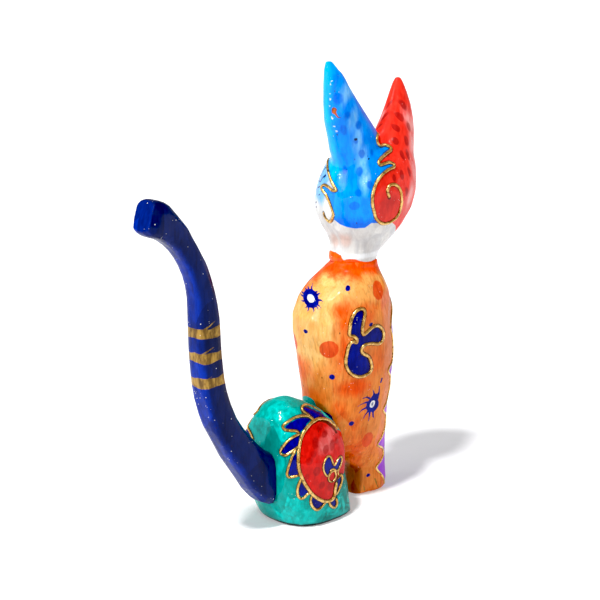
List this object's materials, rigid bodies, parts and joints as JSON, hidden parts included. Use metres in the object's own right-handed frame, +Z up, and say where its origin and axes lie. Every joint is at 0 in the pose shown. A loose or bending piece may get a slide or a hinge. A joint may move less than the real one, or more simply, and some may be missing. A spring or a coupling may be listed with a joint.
{
  "type": "painted wooden cat figurine",
  "caption": "Seated carved cat with a tall chest, head turned aside, pointed ears and a raised curved tail; a free-standing painted ornament.",
  "frame": {"origin": "on the floor, under the middle of the whole figure's bounding box", "axes": "+Z up; the body heads along -X with the tail at +X; the face looks along -Y; the flank with the open view is +Y"},
  "size_m": [0.1791, 0.0498, 0.2321],
  "materials": {
    "torso": "hand painted under gloss varnish",
    "haunch": "hand painted under gloss varnish",
    "head": "hand painted under gloss varnish",
    "tail": "hand painted under gloss varnish",
    "neck_dowel": "bare turned dowel",
    "left_seat_dowel": "bare turned dowel",
    "right_seat_dowel": "bare turned dowel",
    "tail_dowel": "bare turned dowel",
    "right_thigh_bead": "dried gold outline paste",
    "left_thigh_bead": "dried gold outline paste",
    "right_flank_bead": "dried gold outline paste",
    "left_flank_bead": "dried gold outline paste",
    "crest_bead": "dried gold outline paste"
  },
  "bodies": {
    "root": {"torso": "torso", "haunch": "haunch", "head": "head", "tail": "tail", "neck_dowel": "neck_dowel", "left_seat_dowel": "left_seat_dowel", "right_seat_dowel": "right_seat_dowel", "tail_dowel": "tail_dowel", "right_thigh_bead": "right_thigh_bead", "left_thigh_bead": "left_thigh_bead", "right_flank_bead": "right_flank_bead", "left_flank_bead": "left_flank_bead", "crest_bead": "crest_bead"}
  },
  "joints": []
}
